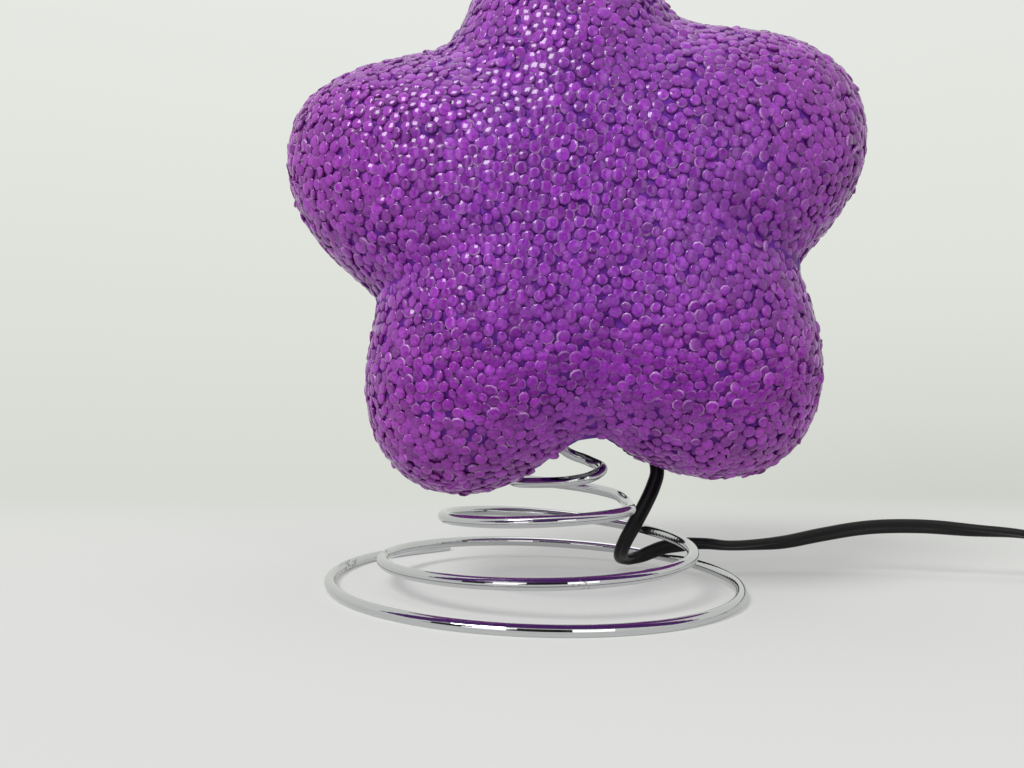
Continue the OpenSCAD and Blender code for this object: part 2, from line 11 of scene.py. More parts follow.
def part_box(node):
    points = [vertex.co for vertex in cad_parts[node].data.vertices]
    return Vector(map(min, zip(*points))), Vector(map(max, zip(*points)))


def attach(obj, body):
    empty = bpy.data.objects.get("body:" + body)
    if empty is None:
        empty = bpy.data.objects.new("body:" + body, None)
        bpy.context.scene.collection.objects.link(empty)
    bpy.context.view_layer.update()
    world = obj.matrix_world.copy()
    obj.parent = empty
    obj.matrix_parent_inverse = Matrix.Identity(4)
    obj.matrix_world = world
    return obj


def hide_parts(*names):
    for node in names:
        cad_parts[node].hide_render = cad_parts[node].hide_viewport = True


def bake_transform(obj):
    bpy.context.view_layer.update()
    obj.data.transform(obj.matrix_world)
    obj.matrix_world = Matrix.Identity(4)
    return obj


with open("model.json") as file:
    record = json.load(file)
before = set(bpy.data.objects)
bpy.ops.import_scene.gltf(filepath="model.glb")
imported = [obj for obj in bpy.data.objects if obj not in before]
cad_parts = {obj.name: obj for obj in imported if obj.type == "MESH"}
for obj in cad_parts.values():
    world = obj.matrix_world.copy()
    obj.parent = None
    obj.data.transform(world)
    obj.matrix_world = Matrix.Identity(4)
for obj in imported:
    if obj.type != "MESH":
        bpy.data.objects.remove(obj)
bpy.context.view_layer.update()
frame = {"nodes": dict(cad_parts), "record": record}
nodes = frame["nodes"]
scene = bpy.context.scene

# Camera: a phone held low and close in front of the lamp, almost level with the neck of the star.
# The top arm of the star is cut off by the upper edge of the picture.
camera_place = (-0.0206, -0.3399, 0.0686)
camera_tilt = math.radians(90.64)
camera_roll = math.radians(1.36)
camera_data = bpy.data.cameras.new("camera")
camera_data.lens = 33.2
camera_data.sensor_width = 36.0
camera_data.clip_start = 0.01
camera = bpy.data.objects.new("camera", camera_data)
camera.matrix_world = (Matrix.Translation(camera_place) @ Matrix.Rotation(camera_tilt, 4, "X")
                       @ Matrix.Rotation(camera_roll, 4, "Z"))
scene.collection.objects.link(camera)
scene.camera = camera

# Floor and light: a smooth white table against a pale wall, under one wide soft light from the upper left.
# The table glows a little, so that shadows stay faint, and far behind the lamp it takes the wall's own tone.
# Cards that only reflections see stand for the room, and one purple card puts a painted reflection of the star into
# the wire.
floor_size = 3.0
floor_paint = (180, 181, 178)
floor_glow = (151, 152, 150)
wall_side = (-0.2286, 0.9735, 0.0)
wall_near, wall_far = 0.15, 0.335
wall_foot, wall_head = -0.13, 0.37
wall_turn_start, wall_turn_end = 0.05, 0.45
wall_ahead = 0.5
# The wall's tones hold painted shade: darker towards the table, and darker still on the right.
wall_left_with_shade = ((0.0, (215, 218, 211)), (0.26, (219, 222, 215)), (0.52, (224, 227, 220)), (1.0, (231, 233, 228)))
wall_right_with_shade = ((0.0, (200, 203, 196)), (0.26, (215, 218, 211)), (0.52, (224, 227, 220)), (1.0, (229, 231, 226)))


def paint(red, green, blue):
    """A colour of the finish, written in 0 to 255, as the shader needs it."""
    parts = [c / 255 for c in (red, green, blue)]
    return tuple(c / 12.92 if c <= 0.04045 else ((c + 0.055) / 1.055) ** 2.4 for c in parts) + (1.0,)


def new_material(name):
    """An empty material with a Principled shader: the material, its nodes, its links and the shader."""
    material = bpy.data.materials.new(name)
    material.use_nodes = True
    tree = material.node_tree
    return material, tree.nodes, tree.links, tree.nodes["Principled BSDF"]


def new_piece(name, shape, material=None):
    """A finished bmesh as an object at the origin."""
    mesh = bpy.data.meshes.new(name)
    shape.to_mesh(mesh)
    shape.free()
    piece = bpy.data.objects.new(name, mesh)
    scene.collection.objects.link(piece)
    if material:
        mesh.materials.append(material)
    return piece


def far_wall():
    """A shader group: the wall's tone in the way that a ray from the camera's place takes, with painted shade that
    darkens it towards the table and more on the right.
    """
    group = bpy.data.node_groups.new("far_wall", "ShaderNodeTree")
    group.interface.new_socket("Way", in_out="INPUT", socket_type="NodeSocketVector")
    group.interface.new_socket("Tone", in_out="OUTPUT", socket_type="NodeSocketColor")
    n, links = group.nodes, group.links
    entry = n.new("NodeGroupInput")
    result = n.new("NodeGroupOutput")
    parts = n.new("ShaderNodeSeparateXYZ")
    height = n.new("ShaderNodeMapRange")
    height.inputs["From Min"].default_value = wall_foot
    height.inputs["From Max"].default_value = wall_head
    side = n.new("ShaderNodeMapRange")
    side.interpolation_type = "SMOOTHSTEP"
    side.inputs["From Min"].default_value = wall_turn_start
    side.inputs["From Max"].default_value = wall_turn_end
    ahead = n.new("ShaderNodeMapRange")
    ahead.inputs["From Max"].default_value = wall_ahead
    rightward = n.new("ShaderNodeMath")
    rightward.operation = "MULTIPLY"
    tone = n.new("ShaderNodeMix")
    tone.data_type = "RGBA"
    links.new(entry.outputs["Way"], parts.inputs["Vector"])
    links.new(parts.outputs["Z"], height.inputs["Value"])
    links.new(parts.outputs["X"], side.inputs["Value"])
    links.new(parts.outputs["Y"], ahead.inputs["Value"])
    links.new(side.outputs["Result"], rightward.inputs[0])
    links.new(ahead.outputs["Result"], rightward.inputs[1])
    links.new(rightward.outputs["Value"], tone.inputs["Factor"])
    for socket, stops in (("A", wall_left_with_shade), ("B", wall_right_with_shade)):
        ramp = n.new("ShaderNodeValToRGB")
        while len(ramp.color_ramp.elements) < len(stops):
            ramp.color_ramp.elements.new(0.5)
        for element, (position, colour) in zip(ramp.color_ramp.elements, stops):
            element.position = position
            element.color = paint(*colour)
        links.new(height.outputs["Result"], ramp.inputs["Fac"])
        links.new(ramp.outputs["Color"], tone.inputs[socket])
    links.new(tone.outputs["Result"], result.inputs["Tone"])
    return group


wall_group = far_wall()
table_white, n, links, shader = new_material("table_white")
spot = n.new("ShaderNodeTexCoord")
depth = n.new("ShaderNodeVectorMath")
depth.operation = "DOT_PRODUCT"
depth.inputs[1].default_value = wall_side
behind = n.new("ShaderNodeMapRange")
behind.interpolation_type = "SMOOTHSTEP"
behind.inputs["From Min"].default_value = wall_near
behind.inputs["From Max"].default_value = wall_far
floor_tone = n.new("ShaderNodeMix")
floor_tone.data_type = "RGBA"
floor_tone.inputs["A"].default_value = paint(*floor_paint)
floor_tone.inputs["B"].default_value = (0.0, 0.0, 0.0, 1.0)
from_front = n.new("ShaderNodeVectorMath")
from_front.operation = "SUBTRACT"
from_front.inputs[1].default_value = camera_place
way = n.new("ShaderNodeVectorMath")
way.operation = "NORMALIZE"
wall_tone = n.new("ShaderNodeGroup")
wall_tone.node_tree = wall_group
links.new(spot.outputs["Object"], depth.inputs[0])
links.new(depth.outputs["Value"], behind.inputs["Value"])
links.new(behind.outputs["Result"], floor_tone.inputs["Factor"])
links.new(floor_tone.outputs["Result"], shader.inputs["Base Color"])
links.new(spot.outputs["Object"], from_front.inputs[0])
links.new(from_front.outputs["Vector"], way.inputs[0])
links.new(way.outputs["Vector"], wall_tone.inputs["Way"])
glow_tone = n.new("ShaderNodeMix")
glow_tone.data_type = "RGBA"
glow_tone.inputs["A"].default_value = paint(*floor_glow)
links.new(behind.outputs["Result"], glow_tone.inputs["Factor"])
links.new(wall_tone.outputs["Tone"], glow_tone.inputs["B"])
links.new(glow_tone.outputs["Result"], shader.inputs["Emission Color"])
shader.inputs["Emission Strength"].default_value = 1.0
shader.inputs["Roughness"].default_value = 0.9
shader.inputs["Specular IOR Level"].default_value = 0.0

shape = bmesh.new()
bmesh.ops.create_circle(shape, cap_ends=True, segments=64, radius=floor_size)
floor = new_piece("floor", shape, table_white)


def card(name, place, size, tilt, colour, glow=0.0):
    """A flat card that only reflections see, plain or glowing."""
    shape = bmesh.new()
    bmesh.ops.create_grid(shape, x_segments=1, y_segments=1, size=0.5)
    bmesh.ops.transform(shape, verts=shape.verts, matrix=(
        Matrix.Translation(place) @ Matrix.Rotation(math.radians(tilt), 4, "X")
        @ Matrix.Diagonal((size[0], size[1], 1.0, 1.0))))
    card_paint, n, links, shader = new_material(name)
    shader.inputs["Base Color"].default_value = paint(*colour)
    shader.inputs["Roughness"].default_value = 0.9
    shader.inputs["Emission Color"].default_value = paint(*colour)
    shader.inputs["Emission Strength"].default_value = glow
    piece = new_piece(name, shape, card_paint)
    piece.visible_camera = False
    piece.visible_diffuse = False
    piece.visible_shadow = False


room_dark, room_bright, room_glow = (18, 17, 20), (255, 255, 252), 1.3
card_y, card_z, card_high = -0.52, 0.24, 0.42
# This purple card, which only reflections see, is a painted reflection of the star's shaded underside in the wire.
card("purple_reflection_card", (0.0, -0.078, 0.050), (0.36, 0.056), 0, (96, 40, 130))
for name, x, width, colour, glow in (("dark_left", -0.58, 0.46, room_dark, 0.0),
                                     ("bright_left", -0.25, 0.22, room_bright, room_glow),
                                     ("dark_middle", 0.0, 0.28, room_dark, 0.0),
                                     ("bright_right", 0.26, 0.24, room_bright, room_glow)):
    card(name, (x, card_y, card_z), (width, card_high), 90, colour, glow)

world = bpy.data.worlds.new("pale_room")
scene.world = world
world.use_nodes = True
n, links = world.node_tree.nodes, world.node_tree.links
room = n["Background"]
room.inputs["Color"].default_value = (0.82, 0.83, 0.81, 1.0)
room.inputs["Strength"].default_value = 0.38
wall = n.new("ShaderNodeBackground")
way = n.new("ShaderNodeTexCoord")
wall_tone = n.new("ShaderNodeGroup")
wall_tone.node_tree = wall_group
links.new(way.outputs["Generated"], wall_tone.inputs["Way"])
links.new(wall_tone.outputs["Tone"], wall.inputs["Color"])
ray = n.new("ShaderNodeLightPath")
seen = n.new("ShaderNodeMath")
seen.operation = "MAXIMUM"
shown = n.new("ShaderNodeMath")
shown.operation = "MAXIMUM"
pick = n.new("ShaderNodeMixShader")
links.new(ray.outputs["Is Camera Ray"], seen.inputs[0])
links.new(ray.outputs["Is Glossy Ray"], seen.inputs[1])
links.new(seen.outputs["Value"], shown.inputs[0])
links.new(ray.outputs["Is Transmission Ray"], shown.inputs[1])
links.new(shown.outputs["Value"], pick.inputs["Fac"])
links.new(room.outputs["Background"], pick.inputs[1])
links.new(wall.outputs["Background"], pick.inputs[2])
links.new(pick.outputs["Shader"], n["World Output"].inputs["Surface"])

lit_place = Vector((0.0, 0.0, 0.1))
for name, place, size, power in (("ceiling_light", (-0.10, 0.10, 1.30), (1.0, 1.0), 3.2),
                                 ("left_light", (-2.10, -2.80, 3.45), (1.8, 1.8), 152.0),
                                 ("right_light", (0.55, -0.85, 0.55), (0.20, 0.20), 0.8)):
    light = bpy.data.lights.new(name, "AREA")
    light.shape = "RECTANGLE"
    light.size, light.size_y = size
    light.energy = power
    lamp = bpy.data.objects.new(name, light)
    lamp.location = place
    aim = lit_place - Vector(place)
    lamp.rotation_euler = aim.to_track_quat("-Z", "Y").to_euler()
    scene.collection.objects.link(lamp)

# In-line switch: two black moulded half shells, held by two screws from below, with a knurled thumb wheel
# between them. It sits on the cord outside the picture.
moulded_black = ((14, 14, 15), (30, 30, 31))


def surface_grain():
    """A shader group: fine uneven grain of a surface, as a tint from 0 to 1 and as a height."""
    group = bpy.data.node_groups.new("surface_grain", "ShaderNodeTree")
    group.interface.new_socket("Vector", in_out="INPUT", socket_type="NodeSocketVector")
    group.interface.new_socket("Scale", in_out="INPUT", socket_type="NodeSocketFloat")
    group.interface.new_socket("Tint", in_out="OUTPUT", socket_type="NodeSocketFloat")
    group.interface.new_socket("Height", in_out="OUTPUT", socket_type="NodeSocketFloat")
    n, links = group.nodes, group.links
    entry = n.new("NodeGroupInput")
    result = n.new("NodeGroupOutput")
    patches = n.new("ShaderNodeTexNoise")
    patches.inputs["Detail"].default_value = 4.0
    slower = n.new("ShaderNodeMath")
    slower.operation = "MULTIPLY"
    slower.inputs[1].default_value = 0.12
    pores = n.new("ShaderNodeTexNoise")
    pores.inputs["Detail"].default_value = 2.0
    links.new(entry.outputs["Vector"], patches.inputs["Vector"])
    links.new(entry.outputs["Vector"], pores.inputs["Vector"])
    links.new(entry.outputs["Scale"], slower.inputs[0])
    links.new(slower.outputs["Value"], patches.inputs["Scale"])
    links.new(entry.outputs["Scale"], pores.inputs["Scale"])
    links.new(patches.outputs["Fac"], result.inputs["Tint"])
    links.new(pores.outputs["Fac"], result.inputs["Height"])
    return group


grain_group = surface_grain()
grain_low, grain_high = 0.3, 0.7
flat_angle = math.radians(1.0)
edge_angle = math.radians(30)
crease_angle = math.radians(50)


def grained(name, tones, rough, scale, depth, metallic=0.0, specular=0.5):
    """A plain finish with grain: its colour and gloss vary in patches, and its surface has fine pores."""
    material, n, links, shader = new_material(name)
    place = n.new("ShaderNodeTexCoord")
    grain = n.new("ShaderNodeGroup")
    grain.node_tree = grain_group
    grain.inputs["Scale"].default_value = scale
    tint = n.new("ShaderNodeMix")
    tint.data_type = "RGBA"
    tint.inputs["A"].default_value = paint(*tones[0])
    tint.inputs["B"].default_value = paint(*tones[1])
    gloss = n.new("ShaderNodeMapRange")
    gloss.inputs["From Min"].default_value = grain_low
    gloss.inputs["From Max"].default_value = grain_high
    gloss.inputs["To Min"].default_value = rough[0]
    gloss.inputs["To Max"].default_value = rough[1]
    bump = n.new("ShaderNodeBump")
    bump.inputs["Distance"].default_value = depth
    bump.inputs["Strength"].default_value = 0.6
    links.new(place.outputs["Object"], grain.inputs["Vector"])
    links.new(grain.outputs["Tint"], tint.inputs["Factor"])
    links.new(grain.outputs["Tint"], gloss.inputs["Value"])
    links.new(grain.outputs["Height"], bump.inputs["Height"])
    links.new(tint.outputs["Result"], shader.inputs["Base Color"])
    links.new(gloss.outputs["Result"], shader.inputs["Roughness"])
    links.new(bump.outputs["Normal"], shader.inputs["Normal"])
    shader.inputs["Metallic"].default_value = metallic
    shader.inputs["Specular IOR Level"].default_value = specular
    return material


def rounded_copy(node, width, material, segments=2):
    """A CAD piece with its sharp edges rounded, standing for that piece."""
    shape = bmesh.new()
    shape.from_mesh(nodes[node].data)
    bmesh.ops.remove_doubles(shape, verts=shape.verts, dist=1e-6)
    bmesh.ops.dissolve_limit(shape, angle_limit=flat_angle, verts=shape.verts, edges=shape.edges)
    sharp = [e for e in shape.edges if e.is_manifold and e.calc_face_angle() > edge_angle]
    bmesh.ops.bevel(shape, geom=sharp, offset=width, offset_type="OFFSET", affect="EDGES", segments=segments,
                    profile=0.5, material=-1, clamp_overlap=True)
    piece = new_piece(node + "_rounded", shape, material)
    piece.data.shade_smooth()
    piece.data.set_sharp_from_angle(angle=crease_angle)
    piece.modifiers.new("flat_faces", "WEIGHTED_NORMAL").keep_sharp = True
    body = next(b for b, members in frame["record"]["behaviour"]["bodies"].items() if node in members)
    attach(piece, body)
    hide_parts(node)
    return piece


def dress(material, *names):
    """Gives CAD pieces that keep their own shape a better finish."""
    for name in names:
        nodes[name].data.materials.clear()
        nodes[name].data.materials.append(material)


switch_plastic = grained("switch_plastic", moulded_black, (0.32, 0.46), 2600.0, 0.00005)
switch_brass = grained("switch_brass", ((176, 138, 70), (205, 170, 98)), (0.22, 0.4), 1800.0, 0.00002, 1.0)
screw_steel = grained("screw_steel", ((150, 150, 152), (190, 190, 192)), (0.25, 0.4), 1800.0, 0.00002, 1.0)
switch_pieces = [rounded_copy("switch_lower", 0.0010, switch_plastic, 3),
                 rounded_copy("switch_upper", 0.0016, switch_plastic, 4)]
dress(switch_plastic, "switch_wheel")
dress(switch_brass, "switch_contact_in", "switch_contact_out")
dress(screw_steel, "switch_screw_in", "switch_screw_out")
switch_pieces += [nodes[name] for name in ("switch_wheel", "switch_contact_in", "switch_contact_out",
                                           "switch_screw_in", "switch_screw_out")]

# Tie: a strap of black ribbed nylon round the bundle of the put-away cord.
tie_nylon = grained("tie_nylon", ((18, 18, 19), (38, 38, 39)), (0.4, 0.55), 1500.0, 0.0001)
tie = rounded_copy("cord_tie", 0.0003, tie_nylon)

# Plug: a black moulded body with a ribbed strain relief and two folded brass blades.
# The relief is one moulded cone with grooves, which lets the cord bend softly.
plug_vinyl = grained("plug_vinyl", ((16, 16, 17), (33, 33, 34)), (0.36, 0.5), 2200.0, 0.00006)
blade_brass = grained("blade_brass", ((186, 160, 104), (214, 192, 140)), (0.2, 0.36), 1500.0, 0.00002, 1.0)
relief_low, relief_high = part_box("plug_relief")
relief_middle = (relief_low + relief_high) / 2
relief_wide = (relief_high.z - relief_low.z) / 2
relief_thin = 0.0038
ribs = 5
rib_step = (relief_high.x - relief_low.x) / ribs
profile = []
for rib in range(ribs):
    start = relief_high.x - rib * rib_step
    swell = relief_thin + (relief_wide - relief_thin) * (rib + 0.5) / ribs
    for share, cut in ((0.0, 0.0009), (0.12, 0.0001), (0.25, 0.0), (0.6, 0.0), (0.72, 0.0001), (0.84, 0.0009)):
        profile.append((start - share * rib_step, swell - cut))
profile.append((relief_low.x, relief_wide - 0.0002))
shape = bmesh.new()
line = [shape.verts.new((profile[0][0], 0.0, 0.0))]
line += [shape.verts.new((x, 0.0, r)) for x, r in profile]
line.append(shape.verts.new((profile[-1][0], 0.0, 0.0)))
edges = [shape.edges.new(pair) for pair in zip(line, line[1:])]
bmesh.ops.spin(shape, geom=line + edges, cent=(0, 0, 0), axis=(1, 0, 0), angle=math.tau, steps=32, use_merge=True)
bmesh.ops.remove_doubles(shape, verts=shape.verts, dist=1e-6)
bmesh.ops.recalc_face_normals(shape, faces=shape.faces)
bmesh.ops.translate(shape, verts=shape.verts, vec=(0.0, relief_middle.y, relief_middle.z))
relief = new_piece("plug_relief_ribbed", shape, plug_vinyl)
relief.data.shade_smooth()
relief.data.set_sharp_from_angle(angle=math.radians(60))
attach(relief, "base")
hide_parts("plug_relief")
plug_pieces = [rounded_copy("plug_body", 0.0014, plug_vinyl, 3), relief,
               rounded_copy("blade_wide", 0.0003, blade_brass), rounded_copy("blade_narrow", 0.0003, blade_brass)]

# Cord: a black flat twin flex of satin vinyl, two round cores side by side with a groove between them.
# It leaves the back of the neck, hangs to the table, lies over the wire and ends in the plug.
cord_wide = 0.0058
core = cord_wide / 4
groove = 0.0010
cord_top = (0.007084, 0.011818, 0.0659)
drop_route = [cord_top, (0.007084, 0.011818, 0.0637), (0.007084, 0.011818, 0.0615), (0.0077, 0.0140, 0.0582),
              (0.0088, 0.0180, 0.0552), (0.0104, 0.0234, 0.0542), (0.0156, 0.0305, 0.0543),
              (0.0232, 0.0348, 0.0540), (0.0305, 0.0355, 0.0522), (0.0356, 0.0340, 0.0474),
              (0.0372, 0.0314, 0.0401), (0.0356, 0.0296, 0.0342), (0.0324, 0.0276, 0.0275),
              (0.0279, 0.0260, 0.0193), (0.0247, 0.0269, 0.0127), (0.0237, 0.0310, 0.0077),
              (0.0250, 0.0366, 0.0046), (0.0287, 0.0409, 0.0036)]
drop_wide = [(0.98, -0.17, 0)] * 5 + [
    (0.97, -0.22, 0.1), (0.86, -0.5, 0.15), (0.55, -0.75, 0.45), (0.5, -0.4, 0.8), (0.75, 0.05, 0.6), (1, 0.2, 0.1),
    (1, 0.1, 0), (1, 0.1, 0), (1, 0, 0), (1, 0, 0), (1, 0, 0.1), (0.9, -0.2, 0.4), (0.6, -0.3, 0.75)]
switch_in = (0.236, 0.029, 0.0075)
switch_out = (0.282, 0.029, 0.0075)
run_route = [drop_route[-1], (0.0332, 0.0426, 0.0046), (0.0378, 0.0417, 0.0068), (0.0421, 0.0395, 0.0089),
             (0.0469, 0.0370, 0.0102), (0.0523, 0.0346, 0.0113), (0.0583, 0.0332, 0.0116),
             (0.0654, 0.0334, 0.0111), (0.0755, 0.0362, 0.0111), (0.0899, 0.0392, 0.0121),
             (0.1047, 0.0406, 0.0151), (0.1195, 0.0404, 0.0180), (0.1320, 0.0394, 0.0194),
             (0.1470, 0.0370, 0.0199), (0.1630, 0.0354, 0.0191), (0.1830, 0.0340, 0.0182),
             (0.2030, 0.0320, 0.0146), (0.2190, 0.0300, 0.0100), (0.2300, 0.0290, 0.0075), switch_in]
run_wide = [(0.6, -0.3, 0.75), (0.3, -0.3, 0.9), (0.05, -0.25, 0.95), (0, -0.25, 0.95), (0, -0.3, 0.9),
            (0, -0.6, 0.75), (0, -0.75, 0.65), (0, -0.85, 0.5), (0, -0.8, 0.6), (0, -0.4, 0.9), (0, -0.2, 1),
            (0, -0.1, 1), (0, -0.1, 1), (0, -0.2, 1), (0, -0.6, 0.8), (0, -0.95, 0.3)] + [(0, -1, 0)] * 4
coil_middle = Vector((0.330, -0.022, 0.0))
coil_inner = 0.022
coil_turns = 6.25
coil_step = 0.0064
coil_low = 0.00235
coil_layer = 0.0036
coil_points = 48


def smooth_line(points, steps):
    """A smooth line through points, with this many steps from one to the next."""
    p = np.array(points, float)
    last = len(p) - 1
    line = []
    for k in range(last * steps + 1):
        i = min(k // steps, last - 1)
        u = k / steps - i
        a, b, c, d = p[max(i - 1, 0)], p[i], p[i + 1], p[min(i + 2, last)]
        line.append(0.5 * (2 * b + (c - a) * u + (2 * a - 5 * b + 4 * c - d) * u**2
                           + (3 * b - a - 3 * c + d) * u**3))
    return line


def swept(path, wide, section):
    """A section pulled along a path, its wide side turned to the given way at each point."""
    shape = bmesh.new()
    face = shape.faces.new([shape.verts.new((x, y, 0.0)) for x, y in section])
    before = Matrix.Identity(4)
    for i, point in enumerate(path):
        along = Vector(path[min(i + 1, len(path) - 1)] - path[max(i - 1, 0)]).normalized()
        across = Vector(wide[i])
        across = (across - along * along.dot(across)).normalized()
        place = Matrix((across, along.cross(across), along)).transposed().to_4x4()
        place.translation = Vector(point)
        if i:
            grown = bmesh.ops.extrude_face_region(shape, geom=[face])
            face = next(g for g in grown["geom"] if isinstance(g, bmesh.types.BMFace))
        bmesh.ops.transform(shape, matrix=place @ before.inverted(), verts=face.verts)
        before = place
    bmesh.ops.recalc_face_normals(shape, faces=shape.faces)
    return shape


coil_line, coil_wide = [], []
for k in range(int(coil_turns * coil_points) + 1):
    turns = k / coil_points
    angle = math.radians(90 - 360 * turns)
    radius = coil_inner + coil_step * abs(turns - coil_turns / 2)
    rise = max(0.0, min(1.0, (turns - coil_turns / 2 + 0.5) / 0.5))
    outward = Vector((math.cos(angle), math.sin(angle), 0.0))
    lift = Vector((0.0, 0.0, coil_low + coil_layer * rise * rise * (3 - 2 * rise)))
    coil_line.append(np.array(coil_middle + radius * outward + lift))
    coil_wide.append(-outward)
coil_start, coil_end = Vector(coil_line[0]), Vector(coil_line[-1])
lead_route = [switch_out, (0.288, 0.029, 0.0075), (0.297, 0.0282, 0.006), (0.307, 0.0258, 0.0038),
              coil_start + Vector((-0.013, 0.0026, 0.0001)), coil_start + Vector((-0.006, 0.0004, 0.0)), coil_start]
relief_end = (0.326, -0.081, 0.007)
tail_route = [coil_end, coil_end + Vector((0.0, -0.006, 0.0)), coil_end + Vector((0.0016, -0.016, -0.0008)),
              (0.3714, -0.050, 0.0032), (0.367, -0.062, 0.0019), (0.357, -0.0724, 0.0024),
              (0.345, -0.079, 0.0046), (0.334, -0.0808, 0.0067), relief_end]
tail_wide = [(-1, 0, 0), (-1, 0, 0), (-1, 0, 0), (-1, 0.2, 0), (-1, 0.6, 0), (-0.6, 0.9, 0), (-0.3, 1, 0),
             (0, 1, 0), (0, 1, 0)]
steps = 6
cord_path = (smooth_line(drop_route, steps)[:-1] + smooth_line(run_route, steps)
             + smooth_line(lead_route, steps)[:-1] + coil_line + smooth_line(tail_route, steps)[1:])
cord_turn = (smooth_line(drop_wide, steps)[:-1] + smooth_line(run_wide, steps)
             + [(0, -1, 0)] * ((len(lead_route) - 1) * steps) + coil_wide + smooth_line(tail_wide, steps)[1:])
open_angle = math.asin(groove / core)
core_points = 9
lobe = [open_angle + (math.tau - 2 * open_angle) * k / (core_points - 1) + math.pi for k in range(core_points)]
twin = [(core + core * math.cos(a), core * math.sin(a)) for a in lobe] + [(0.0, groove * 0.86)]
twin += [(-x, -y) for x, y in twin]
cord_vinyl = grained("cord_vinyl", ((6, 6, 7), (16, 16, 17)), (0.3, 0.44), 3000.0, 0.00003, specular=0.25)
cord = new_piece("cord", swept(cord_path, cord_turn, twin), cord_vinyl)
for vertex in cord.data.vertices:
    vertex.co.z = max(vertex.co.z, 0.0)
cord.data.shade_smooth()
cord.data.set_sharp_from_angle(angle=math.radians(62))
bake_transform(cord)
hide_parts("cord_drop", "cord_run", "cord_lead", "cord_coil", "cord_tail")

# Spring base: one bright chrome-plated steel wire, wound into a cone that stands on its wide foot turn.
# Its last turn climbs into the star and closes into an eye under the bulb holder; the plating has a few dull spots.
wire = 0.002
foot_flat = 0.0005
foot_middle = Vector((-0.005, 0.0, 0.0))
neck_middle = Vector((0.005, 0.0, 0.0545))
foot_round = 0.084
turn_start, turn_step = 120, 30
climb_start, climb_step = 155, 27.5
foot_z = wire - foot_flat
plate_bright, plate_dull, rust_brown = (202, 203, 205), (140, 138, 138), (104, 70, 42)
wide_rows = [(1, 0), (0.904, 0), (0.814, 0), (0.781, 0.0041), (0.75, 0.0070), (0.702, 0.0098), (0.632, 0.0131),
             (0.5655, 0.0171), (0.507, 0.0222), (0.445, 0.0255), (0.375, 0.0290), (0.305, 0.0301)]
turn_rows = [(share * foot_round, max(z, foot_z)) for share, z in wide_rows]
narrow_turn = [(0.0148, 0.0100, -0.0224), (0.0089, 0.0210, -0.0216), (0.0012, 0.0300, -0.0211),
               (-0.0084, 0.0345, -0.0205), (-0.0176, 0.0330, -0.0196), (-0.0234, 0.0275, -0.0187),
               (-0.0251, 0.0205, -0.0184), (-0.0217, 0.0135, -0.0186), (-0.0141, 0.0068, -0.0179),
               (-0.0053, 0.0016, -0.0169), (0.0029, 0.0008, -0.0151), (0.0084, 0.0085, -0.0124),
               (0.0037, 0.0166, -0.0101), (-0.0044, 0.0152, -0.0069)]
eye_z, eye_round = 0.011, 0.0072
climb_rows = [(0.0106, -0.0068), (0.0125, -0.0005), (0.0126, 0.0060), (0.0116, eye_z - 0.0003), (0.0092, eye_z),
              (eye_round, eye_z)]
thirds, halves = 3, 2
eye_knots = 8
wire_steps = 12
turn_line = smooth_line(turn_rows, thirds)
climb_line = smooth_line(climb_rows, halves) + [np.array((eye_round, eye_z))] * eye_knots
knots = []
for k, (radius, z) in enumerate(turn_line[:-1]):
    angle = math.radians(turn_start + turn_step * k)
    knots.append(foot_middle + Vector((radius * math.cos(angle), radius * math.sin(angle), max(z, foot_z))))
knots += [neck_middle + Vector(point) for point in narrow_turn]
for k, (radius, z) in enumerate(climb_line[halves:]):
    angle = math.radians(climb_start + climb_step * k)
    knots.append(neck_middle + Vector((radius * math.cos(angle), radius * math.sin(angle), z)))
wire_path = smooth_line(knots, wire_steps)
wire_sides = 24
wire_round = [(wire * math.cos(math.tau * k / wire_sides), wire * math.sin(math.tau * k / wire_sides))
              for k in range(wire_sides)]
shape = swept(wire_path, [(0, 0, 1)] * len(wire_path), wire_round)
for vertex in shape.verts:
    vertex.co.z = max(vertex.co.z, 0.0)


